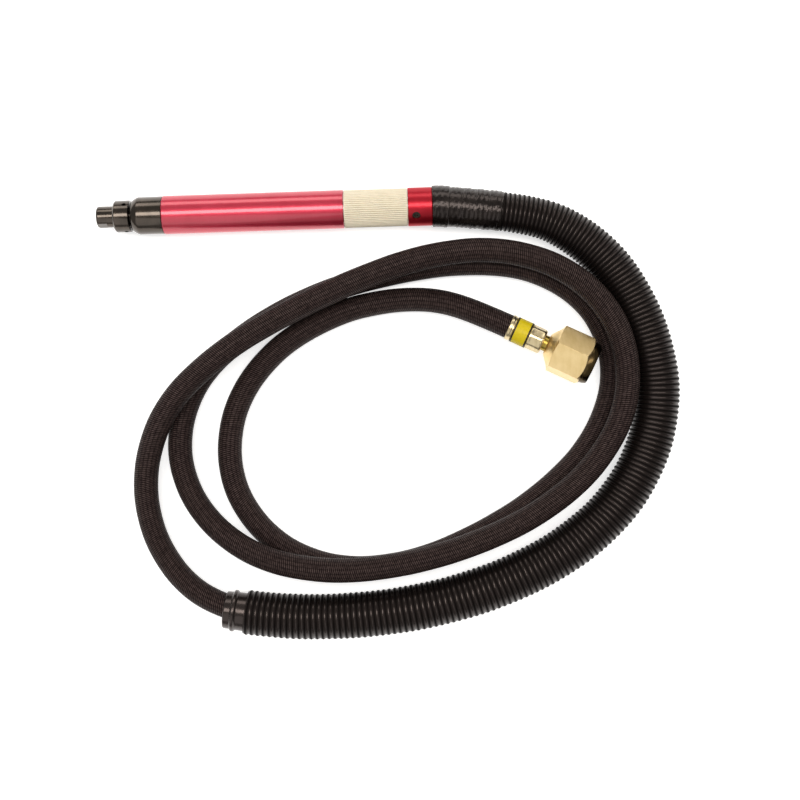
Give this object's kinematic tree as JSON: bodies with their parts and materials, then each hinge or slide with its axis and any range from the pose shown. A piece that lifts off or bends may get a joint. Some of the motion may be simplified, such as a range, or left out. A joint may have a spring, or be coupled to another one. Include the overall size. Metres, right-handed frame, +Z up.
{
  "type": "pneumatic die grinder",
  "caption": "Slim straight air die grinder with a collet chuck, red body, ribbed throttle ring and a coiled braided air hose inside an exhaust overhose.",
  "frame": {"origin": "on the surface that the tool lies on, below the middle of the tool from the collet nut's face to the end of the tape; the hoses aren't counted", "axes": "+X along the tool from the nose to the hoses, +Z up from the surface, the coil of hose on the -Y side"},
  "size_m": [0.2866, 0.224, 0.0272],
  "materials": {
    "black_oxide": "black oxide on turned steel, satin",
    "spring_steel": "hardened and ground",
    "bright_steel": "ground and polished",
    "sintered_iron": "machined grey iron",
    "seal_rubber": "nitrile, matt",
    "felt": "oiled wool felt",
    "red_anodised": "red anodised over a fine turned surface",
    "red_anodised_collar": "red anodised, turned",
    "cage_plastic": "phenolic laminate",
    "vane_composite": "phenolic laminate",
    "bare_aluminium": "machined",
    "cream_plastic": "moulded, satin",
    "brass_fitting": "machined",
    "swivel_brass": "machined",
    "black_tape": "glossy vinyl tape, wound in overlapping turns",
    "black_corrugated": "corrugated tube, semi-gloss",
    "black_cuff": "moulded, glossy",
    "braided_cover": "woven textile cover filled with rubber",
    "plated_steel": "zinc plated, crimped",
    "yellow_band": "plain yellow band with thin black edge lines"
  },
  "bodies": {
    "tool": {"motor_housing": "red_anodised", "nose_cap": "black_oxide", "nose_o_ring": "seal_rubber", "nose_seal": "felt", "front_bearing_outer": "bright_steel", "rear_bearing_outer": "bright_steel", "front_end_plate": "sintered_iron", "motor_cylinder": "sintered_iron", "rear_end_plate": "sintered_iron", "cylinder_pins": "bright_steel", "preload_washer": "spring_steel", "valve_body": "bare_aluminium", "valve_o_rings": "seal_rubber", "throttle_stop_pin": "bright_steel", "rear_collar": "red_anodised_collar", "collar_set_screw": "black_oxide", "exhaust_spigot": "bare_aluminium", "inlet_adapter": "brass_fitting", "inlet_screen": "bright_steel", "inlet_hose_clamp": "bright_steel", "tape_wrap": "black_tape", "exhaust_overhose": "black_corrugated", "overhose_cuff": "black_cuff", "air_hose": "braided_cover", "hose_ferrule": "plated_steel", "hose_tag": "yellow_band", "swivel_stem": "brass_fitting", "swivel_retaining_wire": "spring_steel"},
    "spindle": {"rotor": "spring_steel", "rotor_vanes": "vane_composite", "chuck_body": "black_oxide", "slinger": "bright_steel", "front_bearing_inner": "bright_steel", "rear_bearing_inner": "bright_steel"},
    "front_balls": {"front_bearing_balls": "bright_steel", "front_bearing_cage": "cage_plastic"},
    "rear_balls": {"rear_bearing_balls": "bright_steel", "rear_bearing_cage": "cage_plastic"},
    "collet": {"collet": "spring_steel"},
    "collet_nut": {"collet_nut": "black_oxide"},
    "throttle": {"throttle_ring": "cream_plastic"},
    "swivel": {"swivel_nut": "swivel_brass"}
  },
  "joints": [
    {"name": "spindle_spin", "type": "hinge", "parent": "tool", "child": "spindle", "pos_m": [0, 0, 0.0104], "axis": [1, 0, 0], "continuous": true},
    {"name": "front_balls_roll", "type": "hinge", "parent": "tool", "child": "front_balls", "pos_m": [0, 0, 0.0104], "axis": [1, 0, 0], "continuous": true},
    {"name": "rear_balls_roll", "type": "hinge", "parent": "tool", "child": "rear_balls", "pos_m": [0, 0, 0.0104], "axis": [1, 0, 0], "continuous": true},
    {"name": "collet_release", "type": "slide", "parent": "spindle", "child": "collet", "axis": [-1, 0, 0], "range_m": [0, 0.00112]},
    {"name": "collet_nut_turn", "type": "hinge", "parent": "collet", "child": "collet_nut", "pos_m": [0, 0, 0.0104], "axis": [-1, 0, 0], "range_deg": [0, 540]},
    {"name": "throttle_turn", "type": "hinge", "parent": "tool", "child": "throttle", "pos_m": [0, 0, 0.0104], "axis": [1, 0, 0], "range_deg": [0, 50]},
    {"name": "swivel_turn", "type": "hinge", "parent": "tool", "child": "swivel", "pos_m": [0.12926, -0.075, 0.01343], "axis": [0.8888, -0.4499, 0.0878], "continuous": true}
  ],
  "couplings": [
    {"joint": "front_balls_roll", "follows": "spindle_spin", "ratio": 0.39474},
    {"joint": "rear_balls_roll", "follows": "spindle_spin", "ratio": 0.4},
    {"joint": "collet_nut_turn", "follows": "collet_release", "rad_per_m": 8377.6}
  ]
}
